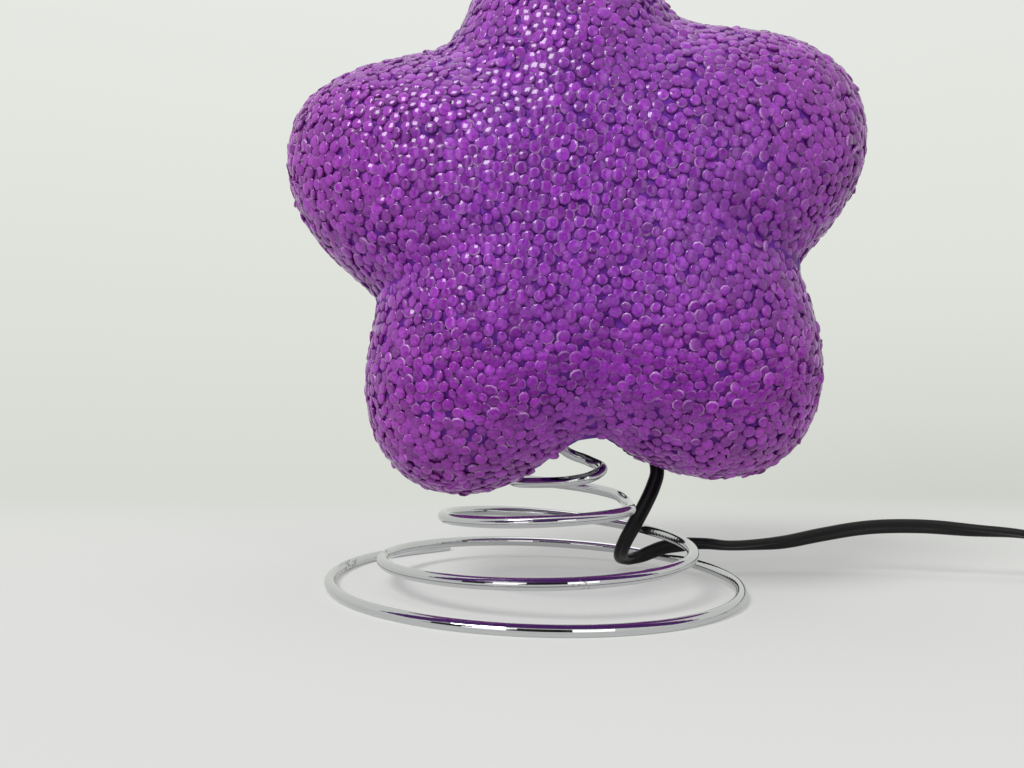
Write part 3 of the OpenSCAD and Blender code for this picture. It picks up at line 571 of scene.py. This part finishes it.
def worn_spots():
    """A shader group: small spots that gather round one place, as a mask from 0 to 1."""
    group = bpy.data.node_groups.new("worn_spots", "ShaderNodeTree")
    for name, kind in (("Vector", "NodeSocketVector"), ("Middle", "NodeSocketVector"), ("Reach", "NodeSocketFloat"),
                       ("Scale", "NodeSocketFloat"), ("Share", "NodeSocketFloat")):
        group.interface.new_socket(name, in_out="INPUT", socket_type=kind)
    group.interface.new_socket("Mask", in_out="OUTPUT", socket_type="NodeSocketFloat")
    n, links = group.nodes, group.links
    entry = n.new("NodeGroupInput")
    result = n.new("NodeGroupOutput")
    away = n.new("ShaderNodeVectorMath")
    away.operation = "DISTANCE"
    share = n.new("ShaderNodeMath")
    share.operation = "DIVIDE"
    near = n.new("ShaderNodeMath")
    near.operation = "SUBTRACT"
    near.use_clamp = True
    near.inputs[0].default_value = 1.0
    specks = n.new("ShaderNodeTexNoise")
    specks.inputs["Detail"].default_value = 3.0
    specks.inputs["Roughness"].default_value = 0.65
    gathered = n.new("ShaderNodeMath")
    gathered.operation = "MULTIPLY_ADD"
    gathered.inputs[1].default_value = 0.35
    cut = n.new("ShaderNodeMath")
    cut.operation = "SUBTRACT"
    mask = n.new("ShaderNodeMath")
    mask.operation = "MULTIPLY"
    mask.use_clamp = True
    mask.inputs[1].default_value = 14.0
    inside = n.new("ShaderNodeMath")
    inside.operation = "MULTIPLY"
    inside.use_clamp = True
    links.new(entry.outputs["Vector"], away.inputs[0])
    links.new(entry.outputs["Middle"], away.inputs[1])
    links.new(away.outputs["Value"], share.inputs[0])
    links.new(entry.outputs["Reach"], share.inputs[1])
    links.new(share.outputs["Value"], near.inputs[1])
    links.new(entry.outputs["Vector"], specks.inputs["Vector"])
    links.new(entry.outputs["Scale"], specks.inputs["Scale"])
    links.new(near.outputs["Value"], gathered.inputs[0])
    links.new(specks.outputs["Fac"], gathered.inputs[2])
    links.new(gathered.outputs["Value"], cut.inputs[0])
    links.new(entry.outputs["Share"], cut.inputs[1])
    links.new(cut.outputs["Value"], mask.inputs[0])
    links.new(mask.outputs["Value"], inside.inputs[0])
    links.new(near.outputs["Value"], inside.inputs[1])
    links.new(inside.outputs["Value"], result.inputs["Mask"])
    return group


spot_group = worn_spots()
chrome, n, links, shader = new_material("chrome_wire")
place = n.new("ShaderNodeTexCoord")


def add_spots(middle, reach, scale, share):
    """One place of worn spots on the chrome."""
    spots = n.new("ShaderNodeGroup")
    spots.node_tree = spot_group
    spots.inputs["Middle"].default_value = middle
    spots.inputs["Reach"].default_value = reach
    spots.inputs["Scale"].default_value = scale
    spots.inputs["Share"].default_value = share
    links.new(place.outputs["Object"], spots.inputs["Vector"])
    return spots


rust = add_spots((0.002, -0.057, 0.010), 0.012, 1300.0, 0.86)
dull_back = add_spots((-0.080, 0.020, 0.003), 0.040, 900.0, 0.84)
dull_left = add_spots((-0.064, 0.004, 0.011), 0.022, 1100.0, 0.84)
dull = n.new("ShaderNodeMath")
dull.operation = "MAXIMUM"
links.new(dull_back.outputs["Mask"], dull.inputs[0])
links.new(dull_left.outputs["Mask"], dull.inputs[1])
haze = n.new("ShaderNodeGroup")
haze.node_tree = grain_group
haze.inputs["Scale"].default_value = 900.0
links.new(place.outputs["Object"], haze.inputs["Vector"])
greyed = n.new("ShaderNodeMix")
greyed.data_type = "RGBA"
greyed.inputs["A"].default_value = paint(*plate_bright)
greyed.inputs["B"].default_value = paint(*plate_dull)
rusted = n.new("ShaderNodeMix")
rusted.data_type = "RGBA"
rusted.inputs["B"].default_value = paint(*rust_brown)
links.new(dull.outputs["Value"], greyed.inputs["Factor"])
links.new(greyed.outputs["Result"], rusted.inputs["A"])
links.new(rust.outputs["Mask"], rusted.inputs["Factor"])
links.new(rusted.outputs["Result"], shader.inputs["Base Color"])
worn = n.new("ShaderNodeMath")
worn.operation = "MAXIMUM"
links.new(rust.outputs["Mask"], worn.inputs[0])
links.new(dull.outputs["Value"], worn.inputs[1])
polish = n.new("ShaderNodeMapRange")
polish.inputs["To Min"].default_value = 0.05
polish.inputs["To Max"].default_value = 0.11
links.new(haze.outputs["Tint"], polish.inputs["Value"])
rougher = n.new("ShaderNodeMath")
rougher.operation = "MULTIPLY_ADD"
rougher.inputs[1].default_value = 0.5
links.new(worn.outputs["Value"], rougher.inputs[0])
links.new(polish.outputs["Result"], rougher.inputs[2])
links.new(rougher.outputs["Value"], shader.inputs["Roughness"])
plated = n.new("ShaderNodeMath")
plated.operation = "SUBTRACT"
plated.inputs[0].default_value = 1.0
links.new(rust.outputs["Mask"], plated.inputs[1])
links.new(plated.outputs["Value"], shader.inputs["Metallic"])
pitted = n.new("ShaderNodeBump")
pitted.inputs["Distance"].default_value = 0.00012
pitted.inputs["Strength"].default_value = 0.5
links.new(worn.outputs["Value"], pitted.inputs["Height"])
links.new(pitted.outputs["Normal"], shader.inputs["Normal"])
spring = new_piece("spring_wire", shape, chrome)
spring.data.shade_smooth()
spring.data.set_sharp_from_angle(angle=crease_angle)
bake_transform(spring)
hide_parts("spring_base")

# Clamp and bulb holder: a pale moulded holder on a round plate, with the spring's eye clamped under it by a
# bolt, washer and nut. The leads go through a black bushing to brass tabs on a brown insulating board.
holder_cream = grained("holder_cream", ((226, 222, 212), (238, 235, 228)), (0.3, 0.45), 1600.0, 0.00004)
collar_clear = grained("collar_clear", ((214, 206, 222), (232, 226, 238)), (0.2, 0.35), 1400.0, 0.00003)
board_brown = grained("board_brown", ((70, 42, 26), (98, 62, 38)), (0.5, 0.65), 2400.0, 0.00006)
bush_black = grained("bush_black", moulded_black, (0.42, 0.55), 2200.0, 0.00005)
rounded_copy("holder_base", 0.0004, holder_cream)
rounded_copy("holder_sleeve", 0.0004, holder_cream)
rounded_copy("shade_collar", 0.0003, collar_clear)
rounded_copy("cord_bushing", 0.0003, bush_black)
rounded_copy("clamp_bolt", 0.0003, screw_steel)
rounded_copy("clamp_nut", 0.0003, screw_steel)
rounded_copy("clamp_washer", 0.0002, screw_steel)
dress(board_brown, "contact_plate")
dress(switch_brass, "screw_shell", "centre_contact", "shell_contact")
dress(bush_black, "lead_live", "lead_neutral")

# Bulb: a small clear candle bulb with a brass screw cap, a glass stem and one straight filament.
# It screws into the holder and is reached by lifting the star off.
clear_glass, n, links, shader = new_material("clear_glass")
shader.inputs["Base Color"].default_value = (0.97, 0.98, 0.98, 1.0)
shader.inputs["Transmission Weight"].default_value = 1.0
shader.inputs["Roughness"].default_value = 0.02
shader.inputs["IOR"].default_value = 1.5
place = n.new("ShaderNodeTexCoord")
ripple = n.new("ShaderNodeGroup")
ripple.node_tree = grain_group
ripple.inputs["Scale"].default_value = 120.0
waves = n.new("ShaderNodeBump")
waves.inputs["Distance"].default_value = 0.00005
waves.inputs["Strength"].default_value = 0.3
links.new(place.outputs["Object"], ripple.inputs["Vector"])
links.new(ripple.outputs["Height"], waves.inputs["Height"])
links.new(waves.outputs["Normal"], shader.inputs["Normal"])
dress(clear_glass, "bulb_glass", "bulb_stem")
dress(switch_brass, "bulb_cap")
dress(bush_black, "bulb_insulator")
dress(screw_steel, "bulb_tip", "bulb_filament")

# Star shade: clear violet plastic pellets, melted together in a mould into one hollow, bumpy shell.
# The shell itself is the bed between the pellets, painted dark as the shade in the gaps, and every pellet lies in
# it a little crooked.
star_middle = Vector((0.0025, 0.0, 0.1342))
star_turn = 5.6
arm_at = np.array([0.0, 70.7, 143.9, 214.9, 287.8, 360.0])
arm_reach = np.array([0.106, 0.106, 0.1125, 0.1125, 0.105, 0.106])
notch_at = np.array([35.1, 109.0, 178.5, 250.9, 328.6])
notch_depth = np.array([0.0748, 0.0787, 0.0833, 0.0787, 0.0748])
lobe_power = np.array([0.97, 0.77, 0.92, 0.77, 0.97])
half_depth = 0.050
puff = 2.3
neck_hole = 0.0185
notch_side = 0.0041
notch_top = 0.059
notch_turn = math.radians(80)
hole_room, notch_room = 0.0012, 0.001
pellet_gap = 0.0028
pellet_round = (0.0020, 0.0027)
pellet_thick = (0.0007, 0.0010)
pellet_sunk = (0.0, 0.00045)
pellet_tones = (0.42, 1.0)
# The lower layer of pellets gets darker tones: painted shade in the gaps between the upper ones.
under_gap = 0.0033
under_sunk = (0.0008, 0.0013)
under_shade_tones = (0.15, 0.55)
pellets_thrown, under_thrown = 110000, 60000
throw_shape = (1.0, 0.8, 1.0)
spread_rounds, spread_near, spread_gap, spread_push = 4, 7, 1.4, 0.22
crooked_share, crooked_much, crooked_little = 0.2, 0.24, 0.08
oval = (0.82, 1.05)
# Some pellets get a pale sickle on the rim: a painted highlight.
sickle_highlight_strength, sickle_highlight_share = (0.08, 0.5, 1.0), (0.45, 0.38, 0.17)
wire_room, wire_fade, wire_sunk = 0.0065, 0.002, 0.0010
violet_inner, violet_outer = (122, 42, 164), (156, 42, 154)
# The lit middle colour is painted light on the pellets, shining through them.
violet_lit_middle, violet_highlight = (150, 60, 174), (218, 164, 232)
# The bed's colours are painted shade, darkest at the edges of its cells.
bed_cell_middle, bed_cell_edge_shade = (112, 36, 160), (86, 22, 138)
rng = np.random.default_rng(11)


def from_top_arm(angle):
    """Angles of the front view in degrees, counted from the top arm, from 0 to 360."""
    return (angle - star_turn + 630) % 360


def star_radius(angle):
    """The star's outline, seen from the front, at angles in degrees."""
    turned = from_top_arm(angle)
    k = np.searchsorted(arm_at[1:5], turned, side="right")
    at, low = notch_at[k], notch_depth[k]
    first = turned < at
    arm = np.where(first, arm_reach[k], arm_reach[k + 1])
    share = np.where(first, (at - turned) / (at - arm_at[k]), (turned - at) / (arm_at[k + 1] - at))
    return low + (arm - low) * (1 - np.cos(np.pi * share**lobe_power[k])) / 2


def skin_value(points):
    """1 on the star's skin, and less inside it; points are measured from the star's middle."""
    radius = np.hypot(points[:, 0], points[:, 2])
    reach = star_radius(np.degrees(np.arctan2(points[:, 2], points[:, 0])))
    return ((radius / reach)**puff + (np.abs(points[:, 1]) / half_depth)**puff)**(1 / puff)


def on_skin(points):
    """The points moved straight out from the star's middle, or in, until they lie on the skin."""
    return points / skin_value(points)[:, None]


def skin_normals(points):
    """The way out of the star at points on the skin."""
    step = 1e-4
    slope = np.stack([skin_value(points + axis) - skin_value(points - axis) for axis in np.eye(3) * step], axis=1)
    return slope / np.linalg.norm(slope, axis=1)[:, None]


def thrown_points(count, gap):
    """Points on the skin, none nearer to another than the gap."""
    kept, cells = [], {}
    for point in on_skin(rng.normal(size=(count, 3)) * throw_shape):
        cell = tuple(int(c) for c in np.floor(point / gap))
        around = [other for x in (-1, 0, 1) for y in (-1, 0, 1) for z in (-1, 0, 1)
                  for other in cells.get((cell[0] + x, cell[1] + y, cell[2] + z), ())]
        if all((point[0] - o[0])**2 + (point[1] - o[1])**2 + (point[2] - o[2])**2 > gap**2 for o in around):
            cells.setdefault(cell, []).append(tuple(point))
            kept.append(point)
    return np.array(kept)


def spread_out(points, gap):
    """Moves each point away from its near neighbours, so that the pellets share the skin evenly."""
    reach = spread_gap * gap
    for _ in range(spread_rounds):
        tree = KDTree(len(points))
        for i, point in enumerate(points):
            tree.insert(point, i)
        tree.balance()
        pushed = points.copy()
        for i, point in enumerate(points):
            for _, j, away in tree.find_n(point, spread_near):
                if j != i and away < reach:
                    pushed[i] += (point - points[j]) / away * (reach - away) * spread_push
        points = on_skin(pushed)
    return points


def off_openings(points):
    """The points that are clear of the neck hole and of the notch for the cord."""
    places = points + np.array(star_middle)
    from_neck = places[:, 0] - neck_middle.x
    along = from_neck * math.cos(notch_turn) + places[:, 1] * math.sin(notch_turn)
    beside = places[:, 1] * math.cos(notch_turn) - from_neck * math.sin(notch_turn)
    hole = np.hypot(from_neck, places[:, 1]) < neck_hole + hole_room
    notch = (along > 0) & (np.abs(beside) < notch_side + hole_room) & (places[:, 2] < notch_top + notch_room)
    return points[~((places[:, 2] < star_middle.z) & (hole | notch))]


wire_tree = KDTree(len(wire_path))
for i, point in enumerate(wire_path):
    wire_tree.insert(point, i)
wire_tree.balance()

shape = bmesh.new()
pellet_sides = 9
pellet_profile = ((0.85, -0.6), (1.0, 0.15), (0.92, 0.72), (0.70, 0.97), (0, 1.0))
pellet_line = [shape.verts.new((x, 0, z)) for x, z in reversed(pellet_profile)]
edges = [shape.edges.new(pair) for pair in zip(pellet_line, pellet_line[1:])]
bmesh.ops.spin(shape, geom=pellet_line + edges, cent=(0, 0, 0), axis=(0, 0, 1), angle=math.tau,
               steps=pellet_sides, use_merge=True)
bmesh.ops.remove_doubles(shape, verts=shape.verts, dist=1e-5)
bmesh.ops.holes_fill(shape, edges=[e for e in shape.edges if e.is_boundary], sides=pellet_sides)
bmesh.ops.recalc_face_normals(shape, faces=shape.faces)
shape.verts.index_update()
pellet_points = np.array([v.co for v in shape.verts])
pellet_faces = [[v.index for v in f.verts] for f in shape.faces]
shape.free()
pellet_heights = [z for x, z in pellet_profile]
pellet_rim = np.interp(pellet_points[:, 2], pellet_heights, (0.0, 0.35, 1.0, 0.0, 0.0))
pellet_top = np.interp(pellet_points[:, 2], pellet_heights, (0.0, 0.0, 0.4, 0.9, 1.0))


def pellet_mesh(name, points, depth, tones):
    """One mesh of many pellets: each has its own size, tilt, tone and hue, and some have a pale sickle on the rim,
    a painted highlight.
    Over the wire they lie deeper."""
    count, size = len(points), len(pellet_points)
    outward = skin_normals(points)
    crooked = np.where(rng.random(count) < crooked_share, crooked_much, crooked_little)
    up = outward + rng.normal(size=(count, 3)) * crooked[:, None]
    up /= np.linalg.norm(up, axis=1)[:, None]
    side = np.cross(up, rng.normal(size=(count, 3)))
    side /= np.linalg.norm(side, axis=1)[:, None]
    third = np.cross(up, side)
    round_a = rng.uniform(*pellet_round, count)
    round_b = round_a * rng.uniform(*oval, count)
    thick = rng.uniform(*pellet_thick, count)
    places = points + np.array(star_middle)
    wire_away = np.array([wire_tree.find(place)[2] for place in places])
    sunk = rng.uniform(*depth, count) + wire_sunk * np.clip((wire_room - wire_away) / wire_fade, 0, 1)
    middle = places - outward * sunk[:, None]
    corners = (middle[:, None, :] + pellet_points[None, :, 0:1] * (side * round_a[:, None])[:, None, :]
               + pellet_points[None, :, 1:2] * (third * round_b[:, None])[:, None, :]
               + pellet_points[None, :, 2:3] * (up * thick[:, None])[:, None, :])
    mesh = bpy.data.meshes.new(name)
    faces = [[v + size * i for v in face] for i in range(count) for face in pellet_faces]
    mesh.from_pydata(corners.reshape(-1, 3).tolist(), [], faces)
    mesh.shade_smooth()
    turn = rng.uniform(0, math.tau, count)
    facing = np.cos(turn)[:, None] * pellet_points[None, :, 0] + np.sin(turn)[:, None] * pellet_points[None, :, 1]
    pale = rng.choice(sickle_highlight_strength, count, p=sickle_highlight_share)
    sickle = pellet_rim[None, :] * np.clip(facing, 0, 1) * pale[:, None]
    for label, values in (("tone", np.repeat(rng.uniform(*tones, count), size)),
                          ("hue", np.repeat(rng.random(count), size)), ("rim", sickle.ravel()),
                          ("top", np.tile(pellet_top, count))):
        mesh.attributes.new(label, "FLOAT", "POINT").data.foreach_set("value", values.astype(np.float32))
    return mesh


pellet_violet, n, links, shader = new_material("pellet_violet")


def pellet_value(label):
    """A value that the pellets carry in their mesh."""
    value = n.new("ShaderNodeAttribute")
    value.attribute_name = label
    return value.outputs["Fac"]


place = n.new("ShaderNodeTexCoord")
from_middle = n.new("ShaderNodeMapping")
from_middle.inputs["Location"].default_value = -star_middle
flat = n.new("ShaderNodeVectorMath")
flat.operation = "MULTIPLY"
flat.inputs[1].default_value = (1.0, 0.0, 1.0)
far = n.new("ShaderNodeVectorMath")
far.operation = "LENGTH"
edge = n.new("ShaderNodeMapRange")
edge.inputs["From Min"].default_value = 0.035
edge.inputs["From Max"].default_value = 0.105
edge.inputs["To Max"].default_value = 0.6
links.new(place.outputs["Object"], from_middle.inputs["Vector"])
links.new(from_middle.outputs["Vector"], flat.inputs[0])
links.new(flat.outputs["Vector"], far.inputs[0])
links.new(far.outputs["Value"], edge.inputs["Value"])
redder = n.new("ShaderNodeMath")
redder.operation = "MULTIPLY_ADD"
redder.inputs[1].default_value = 0.2
links.new(pellet_value("hue"), redder.inputs[0])
links.new(edge.outputs["Result"], redder.inputs[2])
violet = n.new("ShaderNodeMix")
violet.data_type = "RGBA"
violet.inputs["A"].default_value = paint(*violet_inner)
violet.inputs["B"].default_value = paint(*violet_outer)
links.new(redder.outputs["Value"], violet.inputs["Factor"])

# Each pellet is painted darker towards its edge, as shade between the pellets, and paler in its middle, as light
# shining through it.
pellet_edge_shade = n.new("ShaderNodeVectorMath")
pellet_edge_shade.operation = "SCALE"
pellet_edge_shade.inputs["Scale"].default_value = 0.55
pellet_middle_light = n.new("ShaderNodeMix")
pellet_middle_light.data_type = "RGBA"
pellet_middle_light.inputs["Factor"].default_value = 0.45
pellet_middle_light.inputs["B"].default_value = paint(*violet_lit_middle)
shade_and_light_mix = n.new("ShaderNodeMix")
shade_and_light_mix.data_type = "RGBA"
links.new(violet.outputs["Result"], pellet_edge_shade.inputs[0])
links.new(violet.outputs["Result"], pellet_middle_light.inputs["A"])
links.new(pellet_value("top"), shade_and_light_mix.inputs["Factor"])
links.new(pellet_edge_shade.outputs["Vector"], shade_and_light_mix.inputs["A"])
links.new(pellet_middle_light.outputs["Result"], shade_and_light_mix.inputs["B"])

# Random tone darkens each pellet, and the lower layer's darker tones are painted shade.
deeper = n.new("ShaderNodeMapRange")
deeper.inputs["To Min"].default_value = 0.4
deeper.inputs["To Max"].default_value = 1.2
cloud = n.new("ShaderNodeGroup")
cloud.node_tree = grain_group
cloud.inputs["Scale"].default_value = 900.0
cloudy = n.new("ShaderNodeMapRange")
cloudy.inputs["To Min"].default_value = 0.3
cloudy.inputs["To Max"].default_value = 1.8
clouded = n.new("ShaderNodeMath")
clouded.operation = "MULTIPLY"
shaded = n.new("ShaderNodeVectorMath")
shaded.operation = "SCALE"
links.new(pellet_value("tone"), deeper.inputs["Value"])
links.new(place.outputs["Object"], cloud.inputs["Vector"])
links.new(cloud.outputs["Height"], cloudy.inputs["Value"])
links.new(deeper.outputs["Result"], clouded.inputs[0])
links.new(cloudy.outputs["Result"], clouded.inputs[1])
links.new(shade_and_light_mix.outputs["Result"], shaded.inputs[0])
links.new(clouded.outputs["Value"], shaded.inputs["Scale"])

# The pale sickles on the rims are painted highlights.
rim_highlight = n.new("ShaderNodeMath")
rim_highlight.operation = "MULTIPLY"
rim_highlight.inputs[1].default_value = 0.9
highlighted = n.new("ShaderNodeMix")
highlighted.data_type = "RGBA"
highlighted.inputs["B"].default_value = paint(*violet_highlight)
links.new(pellet_value("rim"), rim_highlight.inputs[0])
links.new(rim_highlight.outputs["Value"], highlighted.inputs["Factor"])
links.new(shaded.outputs["Vector"], highlighted.inputs["A"])
links.new(highlighted.outputs["Result"], shader.inputs["Base Color"])
shader.inputs["Roughness"].default_value = 0.12
shader.inputs["Specular IOR Level"].default_value = 0.4

upper = off_openings(spread_out(thrown_points(pellets_thrown, pellet_gap), pellet_gap))
under = off_openings(thrown_points(under_thrown, under_gap))
arms = len(notch_at)
for kind, points, depth, tones in (("pellets", upper, pellet_sunk, pellet_tones),
                                   ("bed", under, under_sunk, under_shade_tones)):
    turned = from_top_arm(np.degrees(np.arctan2(points[:, 2], points[:, 0])))
    arm = np.searchsorted(notch_at, turned, side="right") % arms
    for k in range(arms):
        for side, chosen in (("front", points[:, 1] < 0), ("back", points[:, 1] >= 0)):
            name = f"star_{kind}_{side}_{k + 1}"
            pellets = bpy.data.objects.new(name, pellet_mesh(name, points[(arm == k) & chosen], depth, tones))
            scene.collection.objects.link(pellets)
            pellets.data.materials.append(pellet_violet)
            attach(pellets, "shade")

bed_violet, n, links, shader = new_material("bed_violet")
place = n.new("ShaderNodeTexCoord")
# The bed is painted darker towards the edges of its cells, as shade in the hollows between them.
cells = n.new("ShaderNodeTexVoronoi")
cells.inputs["Scale"].default_value = 270.0
links.new(place.outputs["Object"], cells.inputs["Vector"])
bed = n.new("ShaderNodeMix")
bed.data_type = "RGBA"
bed.inputs["A"].default_value = paint(*bed_cell_middle)
bed.inputs["B"].default_value = paint(*bed_cell_edge_shade)
links.new(cells.outputs["Distance"], bed.inputs["Factor"])
links.new(bed.outputs["Result"], shader.inputs["Base Color"])
hollows = n.new("ShaderNodeBump")
hollows.invert = True
hollows.inputs["Distance"].default_value = 0.0012
links.new(cells.outputs["Distance"], hollows.inputs["Height"])
links.new(hollows.outputs["Normal"], shader.inputs["Normal"])
shader.inputs["Roughness"].default_value = 0.5
shader.inputs["Specular IOR Level"].default_value = 0.2
dress(bed_violet, "star_shade")

# Finish: the colours are shown in the standard way, as they are written.
scene.view_settings.view_transform = "Standard"
